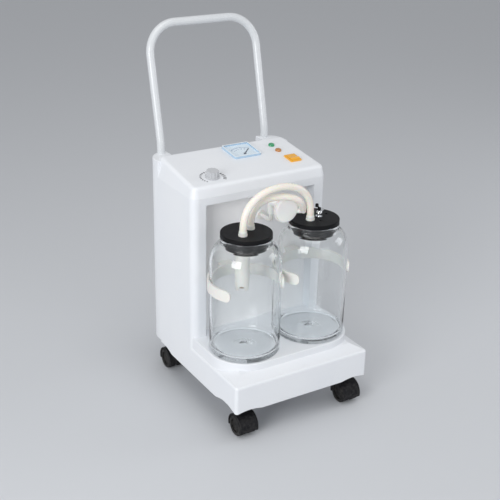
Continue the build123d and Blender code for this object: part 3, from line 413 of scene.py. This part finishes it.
def hose_silicone():
    """Cream hose: a soft translucent wall with slow extrusion waves."""
    material, tree, shader = finish_named(
        "hose_cream", Transmission_Weight=0.04, IOR=1.42, Subsurface_Weight=0.35, Subsurface_Scale=0.004,
        Coat_Weight=0.18, Coat_Roughness=0.12,
    )
    grained = place_effect(
        tree, "moulded_grain", Colour=rgb(0.92, 0.88, 0.80), Shade=rgb(0.90, 0.85, 0.76),
        Grain=260.0, Depth=0.00005, Roughness=0.3, Spread=0.12,
    )
    ripple = place_effect(tree, "slow_ripple", Scale=120.0, Depth=0.0004, Stretch=(1, 1, 1))
    tree.links.new(grained.outputs["Colour"], shader.inputs["Base Color"])
    tree.links.new(grained.outputs["Roughness"], shader.inputs["Roughness"])
    tree.links.new(ripple.outputs["Normal"], shader.inputs["Normal"])
    return material


def gauge_frame_with_painted_side_shade():
    """Gauge frame: pale on top, with its sides painted darker blue as shade, chosen by which way each face
    points.
    """
    material, tree, shader = finish_named("gauge_blue", Coat_Weight=0.5, Coat_Roughness=0.1)
    facing = tree.nodes.new("ShaderNodeNewGeometry").outputs["Normal"]
    axes = tree.nodes.new("ShaderNodeSeparateXYZ")
    tree.links.new(facing, axes.inputs[0])
    upward = span(tree, axes.outputs["Z"], 0.4, 0.8)
    top = place_effect(
        tree, "moulded_grain", Colour=rgb(0.84, 0.90, 0.94), Shade=rgb(0.81, 0.88, 0.93),
        Grain=700.0, Depth=0.00003, Roughness=0.25, Spread=0.1,
    )
    # Darker blue for the frame's sides: painted shade, blended in where the faces turn away from upward.
    side = place_effect(
        tree, "moulded_grain", Colour=rgb(0.42, 0.58, 0.74), Shade=rgb(0.45, 0.61, 0.76),
        Grain=700.0, Depth=0.00003, Roughness=0.25, Spread=0.1,
    )
    painted_side_shade_colour = blend_colours(tree, upward, side.outputs["Colour"], top.outputs["Colour"])
    tree.links.new(painted_side_shade_colour, shader.inputs["Base Color"])
    tree.links.new(top.outputs["Roughness"], shader.inputs["Roughness"])
    tree.links.new(top.outputs["Normal"], shader.inputs["Normal"])
    return material


finishes = {
    "cabinet_white": moulded_plastic(
        "cabinet_white", rgb(0.83, 0.845, 0.87), rgb(0.80, 0.82, 0.855),
        1100.0, 0.00006, 0.36, 0.12, 0.10, 0.10,
        Coat_Weight=0.12, Coat_Roughness=0.25,
    ),
    "bay_grey": moulded_plastic(
        "bay_grey", rgb(0.92, 0.91, 0.91), rgb(0.89, 0.88, 0.885), 1000.0, 0.0001, 0.5, 0.12, 0.12,
    ),
    "handle_white": moulded_plastic(
        "handle_white", rgb(0.68, 0.70, 0.715), rgb(0.65, 0.67, 0.69), 500.0, 0.00004, 0.28, 0.12, 0.22,
        Coat_Weight=0.5, Coat_Roughness=0.15,
    ),
    # Grey knob colour: painted shade standing in for the shading on the white regulator knob.
    "knob_painted_shade_grey": moulded_plastic(
        "knob_painted_shade_grey", rgb(0.56, 0.57, 0.59), rgb(0.51, 0.52, 0.54), 900.0, 0.00005, 0.38, 0.12, 0.15,
    ),
    "steel": drawn_metal("steel", rgb(0.62, 0.63, 0.66), rgb(0.48, 0.49, 0.52), (1, 14, 14), 0.34, 0.2),
    "pump_alloy": moulded_plastic(
        "pump_alloy", rgb(0.52, 0.53, 0.55), rgb(0.44, 0.45, 0.47),
        700.0, 0.0002, 0.5, 0.2, 0.3, Metallic=0.9,
    ),
    "motor_paint": moulded_plastic(
        "motor_paint", rgb(0.03, 0.032, 0.038), rgb(0.045, 0.047, 0.052), 500.0, 0.0001, 0.42, 0.15, 0.2,
    ),
    "glass": blown_glass(),
    "black_rubber": moulded_plastic(
        "black_rubber", rgb(0.006, 0.006, 0.007), rgb(0.011, 0.011, 0.012), 1500.0, 0.00012, 0.44, 0.16, 0.25,
        mark_colour=rgb(0.04, 0.04, 0.04), Specular_IOR_Level=0.1,
    ),
    "hose_cream": hose_silicone(),
    "white_nylon": moulded_plastic(
        "white_nylon", rgb(0.84, 0.83, 0.79), rgb(0.80, 0.785, 0.74), 900.0, 0.00008, 0.38, 0.12, 0.12,
        Subsurface_Weight=0.15, Subsurface_Scale=0.003,
    ),
    "filter_white": moulded_plastic(
        "filter_white", rgb(0.93, 0.925, 0.905), rgb(0.90, 0.89, 0.86), 1200.0, 0.00006, 0.36, 0.1, 0.08,
        Subsurface_Weight=0.2, Subsurface_Scale=0.003,
    ),
    "chrome": drawn_metal("chrome", rgb(0.80, 0.81, 0.83), rgb(0.72, 0.73, 0.75), (9, 9, 1), 0.09, 0.08),
    "black_plastic": moulded_plastic(
        "black_plastic", rgb(0.006, 0.006, 0.008), rgb(0.011, 0.011, 0.013),
        1000.0, 0.0001, 0.42, 0.16, 0.2, 0.12,
        mark_colour=rgb(0.04, 0.04, 0.04), Specular_IOR_Level=0.14,
    ),
    "wheel_black": moulded_plastic(
        "wheel_black", rgb(0.005, 0.005, 0.006), rgb(0.01, 0.01, 0.011),
        1300.0, 0.00015, 0.55, 0.18, 0.25, 0.2,
        mark_colour=rgb(0.05, 0.048, 0.045), Specular_IOR_Level=0.16,
    ),
    "gauge_blue": gauge_frame_with_painted_side_shade(),
    "dial_blue": moulded_plastic(
        "dial_blue", rgb(0.86, 0.91, 0.94), rgb(0.88, 0.92, 0.945), 800.0, 0.00003, 0.5, 0.1, 0.03,
    ),
    "window_clear": tinted_window(),
    "needle_black": moulded_plastic(
        "needle_black", rgb(0.02, 0.025, 0.05), rgb(0.04, 0.045, 0.07), 900.0, 0.00003, 0.45, 0.1, 0.05,
    ),
    "lamp_green": moulded_plastic(
        "lamp_green", rgb(0.02, 0.33, 0.13), rgb(0.01, 0.26, 0.1), 500.0, 0.00003, 0.14, 0.08, 0.03,
        Coat_Weight=0.8, Coat_Roughness=0.05,
    ),
    "lamp_amber": moulded_plastic(
        "lamp_amber", rgb(0.50, 0.21, 0.05), rgb(0.42, 0.16, 0.03), 500.0, 0.00003, 0.14, 0.08, 0.03,
        Coat_Weight=0.8, Coat_Roughness=0.05,
    ),
    "switch_orange": moulded_plastic(
        "switch_orange", rgb(0.88, 0.44, 0.03), rgb(0.82, 0.38, 0.02), 600.0, 0.00004, 0.24, 0.08, 0.05,
        Coat_Weight=0.5, Coat_Roughness=0.1,
    ),
    "float_tan": moulded_plastic(
        "float_tan", rgb(0.52, 0.40, 0.30), rgb(0.46, 0.35, 0.26), 700.0, 0.00005, 0.4, 0.12, 0.08,
    ),
    "print_grey": moulded_plastic(
        "print_grey", rgb(0.07, 0.072, 0.08), rgb(0.10, 0.103, 0.11), 900.0, 0.00002, 0.5, 0.1, 0.05,
    ),
    "print_blue": moulded_plastic(
        "print_blue", rgb(0.03, 0.10, 0.28), rgb(0.05, 0.13, 0.32), 900.0, 0.00002, 0.5, 0.1, 0.05,
    ),
}


def dress_frame_nodes():
    """Each CAD node takes the finish of its material slot, except the regulator knob, which takes a grey
    finish as painted shade.
    """
    own_finish = {"regulator_knob": "knob_painted_shade_grey"}
    for part in frame["record"]["subparts"]:
        mesh = frame["nodes"][part["node"]].data
        mesh.materials.clear()
        mesh.materials.append(finishes[own_finish.get(part["node"], part["material_slot"])])


# Pieces made here

def piece(name, points, faces, finish_name, body, smooth=True):
    """A mesh piece that rides on a CAD body."""
    mesh = bpy.data.meshes.new(name)
    mesh.from_pydata([tuple(point) for point in points], [], faces)
    mesh.update()
    for face in mesh.polygons:
        face.use_smooth = smooth
    mesh.materials.append(finishes[finish_name])
    made = bpy.data.objects.new(name, mesh)
    bpy.context.collection.objects.link(made)
    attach(made, body)
    return made


def turned(name, outline, centre, finish_name, body, replaced=(), steps=96):
    """A piece turned about a vertical axis; its closed outline holds radius and height in millimetres."""
    points = []
    for step in range(steps):
        turn = 2 * pi * step / steps
        points += [
            Vector((centre[0] + radius * cos(turn), centre[1] + radius * sin(turn), height)) * MM
            for radius, height in outline
        ]
    count = len(outline)
    faces = []
    for step in range(steps):
        here, ahead = step * count, (step + 1) % steps * count
        for index in range(count):
            after = (index + 1) % count
            faces.append((here + index, ahead + index, ahead + after, here + after))
    made = piece(name, points, faces, finish_name, body)
    mesh = made.data
    shape = bmesh.new()
    shape.from_mesh(mesh)
    bmesh.ops.remove_doubles(shape, verts=shape.verts, dist=0.00001)
    bmesh.ops.recalc_face_normals(shape, faces=shape.faces)
    shape.to_mesh(mesh)
    shape.free()
    if replaced:
        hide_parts(*replaced)
    return made


jar_seat = 132
jar_place = (71.9, -104.5)


def jar_outline():
    """Half section of a jar in millimetres: heavy foot, round shoulder, neck with a rounded bead."""
    fullness = 1.05
    outside = [(0.01, 3), (12, 2.2), (22, 0.3), (24, 0), (61, 0)]
    outside += [(61 + 4 * sin(radians(turn)), 4 - 4 * cos(radians(turn))) for turn in (20, 40, 60, 80)]
    outside += [(65, 6), (65, 30), (65, 90), (65, 150), (65, 168)]
    outside += [
        (45.5 + 19.5 * cos(radians(turn)) ** fullness, 170 + 37 * sin(radians(turn)) ** fullness)
        for turn in range(4, 85, 5)
    ]
    outside += [(46.6, 208.2), (45.4, 209), (45, 210.2), (45, 213), (45.6, 214.2), (46.4, 215), (46.8, 216.2)]
    outside += [(46.8, 219.6), (46.4, 220.8), (45.4, 221.4), (43, 221.45), (41.6, 221), (41, 219.6)]
    inside = [(41, 212), (41.4, 208), (42.4, 205)]
    inside += [
        (43 + 18 * cos(radians(turn)) ** fullness, 168 + 35 * sin(radians(turn)) ** fullness)
        for turn in range(80, 3, -5)
    ]
    inside += [(61, 166), (61, 90), (61, 22), (60.6, 16), (59, 11), (56, 7.6), (51, 5.8)]
    inside += [(40, 5.2), (22, 6), (8, 7.6), (0.01, 8)]
    return [(radius, jar_seat + height) for radius, height in outside + inside]


def glass_jars():
    for side, name in ((-1, "left"), (1, "right")):
        turned(
            "glass_jar_" + name, jar_outline(), (side * jar_place[0], jar_place[1]), "glass", name + "_jar",
            replaced=("jar_" + name,), steps=128,
        )


def hose_cuffs():
    """Clear ring ends of the hoses, where they grip the nozzles."""
    outline = [(6.3, 364.2), (7.0, 364.1), (7.3, 364.6), (7.3, 368.6), (7.0, 369.2), (6.3, 369.3)]
    for name, centre in (
        ("front_hose_cuff", (-86.7, -117.2)),
        ("rear_hose_cuff", (-58.8, -96.2)),
        ("cross_hose_cuff", (58.4, -111.4)),
    ):
        turned(name, outline, centre, "white_nylon", "lid_set", steps=48)


def prism(name, plan, low, high, rounding, finish_name, body):
    """A block with a given plan, rounded along its top and bottom edges; millimetres."""
    shape = bmesh.new()
    foot = shape.faces.new([shape.verts.new(Vector((x, y, low)) * MM) for x, y in plan])
    lifted = bmesh.ops.extrude_face_region(shape, geom=[foot])
    for vert in lifted["geom"]:
        if isinstance(vert, bmesh.types.BMVert):
            vert.co.z = high * MM
    rims = [edge for edge in shape.edges if abs(edge.verts[0].co.z - edge.verts[1].co.z) < 0.000001]
    bmesh.ops.bevel(
        shape, geom=rims, offset=rounding * MM, segments=5, affect="EDGES", profile=0.5, clamp_overlap=True,
    )
    bmesh.ops.recalc_face_normals(shape, faces=shape.faces)
    mesh = bpy.data.meshes.new(name)
    shape.to_mesh(mesh)
    shape.free()
    for face in mesh.polygons:
        face.use_smooth = True
    mesh.set_sharp_from_angle(angle=radians(35))
    mesh.materials.append(finishes[finish_name])
    made = bpy.data.objects.new(name, mesh)
    bpy.context.collection.objects.link(made)
    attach(made, body)
    return made


def handle_fairings():
    """Rounded rear corners of the cabinet, which take the handle's legs."""
    corner_x, corner_y, corner_radius = -103, 110, 40
    fairing_foot, fairing_top, rounding = 66, 441, 9
    boss_heights = (205, 365, 425)
    boss_x, boss_y = 114.5, 145.9
    boss_outline = [(0.01, 0), (6.5, 0), (6.5, 8.2), (6.1, 8.8), (5.6, 9), (0.01, 9)]
    arc = [
        (corner_x + corner_radius * cos(radians(turn)), corner_y + corner_radius * sin(radians(turn)))
        for turn in range(180, 89, -6)
    ]
    left_plan = [(-138, 97), (-142.9, 98)] + arc + [(-101, 150), (-101, 112)]
    for side, name in ((-1, "left"), (1, "right")):
        plan = [(-side * x, y) for x, y in left_plan]
        fairing = prism(
            "handle_fairing_" + name, plan, fairing_foot, fairing_top, rounding, "cabinet_white", "base",
        )
        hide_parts("handle_sockets")
        for number, height in enumerate(boss_heights):
            boss = turned(
                f"screw_boss_{name}_{number}", boss_outline, (0, 0), "cabinet_white", "base", steps=32,
            )
            place = Matrix.Translation(Vector((side * boss_x, boss_y, height)) * MM)
            boss.data.transform(place @ Matrix.Rotation(-pi / 2, 4, "X"))


hose_start = 0.364
hose_routes = {
    "front_hose": [
        (-0.0867, -0.1172, hose_start), (-0.0867, -0.1172, 0.3915), (-0.0725, -0.1167, 0.4165),
        (-0.0445, -0.1158, 0.4335), (-0.008, -0.1145, 0.4375), (0.026, -0.1132, 0.4295),
        (0.0485, -0.112, 0.4115), (0.0584, -0.1114, 0.388), (0.0584, -0.1114, hose_start),
    ],
    "rear_hose": [
        (-0.0588, -0.0962, hose_start), (-0.0588, -0.0962, 0.3855), (-0.048, -0.0985, 0.404),
        (-0.0294, -0.1035, 0.4149), (-0.0035, -0.11, 0.4167), (0.021, -0.114, 0.4106),
        (0.0375, -0.112, 0.3975), (0.0455, -0.1055, 0.3825),
    ],
}


def lay_hose(name):
    """One cream hose along its route."""
    curve = bpy.data.curves.new(name + "_tube", "CURVE")
    curve.dimensions = "3D"
    curve.bevel_depth = 0.0065
    curve.bevel_resolution = 10
    curve.resolution_u = 16
    line = curve.splines.new("NURBS")
    route = hose_routes[name]
    line.points.add(len(route) - 1)
    for point, place in zip(line.points, route):
        point.co = (*place, 1)
    line.order_u = 3
    line.use_endpoint_u = True
    curve.materials.append(finishes["hose_cream"])
    hose = bpy.data.objects.new(name + "_tube", curve)
    bpy.context.collection.objects.link(hose)
    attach(hose, "lid_set")
    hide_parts(name)


print_thickness = 0.08
panel_tilt = radians(7.6)
panel_middle = Vector((0, 39.25, 438.7)) * MM
panel_matrix = Matrix.Translation(panel_middle) @ Matrix.Rotation(panel_tilt, 4, "X")


def on_panel(across, along, height):
    """A place on the control panel, given in millimetres."""
    return panel_matrix @ (Vector((across, along, height)) * MM)


def printed_bars(name, bars, height, finish_name):
    """Thin printed bars on the panel: each is a centre, a direction in degrees, a length and a width."""
    points, faces = [], []
    for (across, along), turn, length, width in bars:
        ahead = Vector((sin(radians(turn)), cos(radians(turn)))) * length / 2
        aside = Vector((cos(radians(turn)), -sin(radians(turn)))) * width / 2
        start = len(points)
        for lift in (height, height + print_thickness):
            for corner in (-ahead - aside, -ahead + aside, ahead + aside, ahead - aside):
                points.append(on_panel(across + corner.x, along + corner.y, lift))
        faces.append(tuple(start + 4 + index for index in range(4)))
        faces.append(tuple(start + index for index in (3, 2, 1, 0)))
        faces += [(start + i, start + (i + 1) % 4, start + 4 + (i + 1) % 4, start + 4 + i) for i in range(4)]
    return piece(name, points, faces, finish_name, "base", smooth=False)


def printed_number(name, text, across, along, size, height, finish_name):
    """A number printed on the dial."""
    data = bpy.data.curves.new(name, "FONT")
    data.body = text
    data.size = size * MM
    data.align_x = "CENTER"
    data.align_y = "CENTER"
    data.extrude = 0.00003
    data.materials.append(finishes[finish_name])
    made = bpy.data.objects.new(name, data)
    made.matrix_world = panel_matrix @ Matrix.Translation(Vector((across, along, height)) * MM)
    bpy.context.collection.objects.link(made)
    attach(made, "base")
    return made


def around(centre, reach, turn):
    """The place at a distance and a turn in degrees from a centre."""
    return (centre[0] + reach * sin(radians(turn)), centre[1] + reach * cos(radians(turn)))


gauge_pivot = (21, 19)
dial_top = 0.8
scale_start = -45
tick_end, arc_radius, number_radius = 27.5, 28, 20.5
number_size = 3.4


def gauge_scale():
    """The dial's arc, its ticks and its numbers."""
    bars = []
    for step in range(21):
        turn = scale_start + step * 4.5
        long = 3.2 if step % 4 == 0 else 1.8
        bars.append((around(gauge_pivot, tick_end - long / 2, turn), turn, long, 0.45))
    for step in range(40):
        turn = scale_start + (step + 0.5) * 2.25
        bars.append((around(gauge_pivot, arc_radius, turn), turn + 90, 1.15, 0.4))
    printed_bars("gauge_scale", bars, dial_top, "print_blue")
    for step, number in enumerate(("0", "20", "40", "60", "80", "100")):
        across, along = around(gauge_pivot, number_radius, scale_start + step * 18)
        printed_number(
            "gauge_number_" + number, number, across, along, number_size, dial_top + 0.04, "print_blue",
        )


regulator_place = (-85, -44.8)


def regulator_scale():
    """Arc of growing bars round the regulator knob."""
    inner_radius, bar_width = 20, 2.6
    bars = []
    for step in range(19):
        turn = -126 + step * 14
        length = 2.4 + step * 0.2
        bars.append((around(regulator_place, inner_radius + length / 2, turn), turn, length, bar_width))
    printed_bars("regulator_scale", bars, 0.02, "print_grey")


camera_at_photo_angle()
lay_hose("front_hose")
lay_hose("rear_hose")
studio()
dress_frame_nodes()
glass_jars()
hose_cuffs()
handle_fairings()
gauge_scale()
regulator_scale()
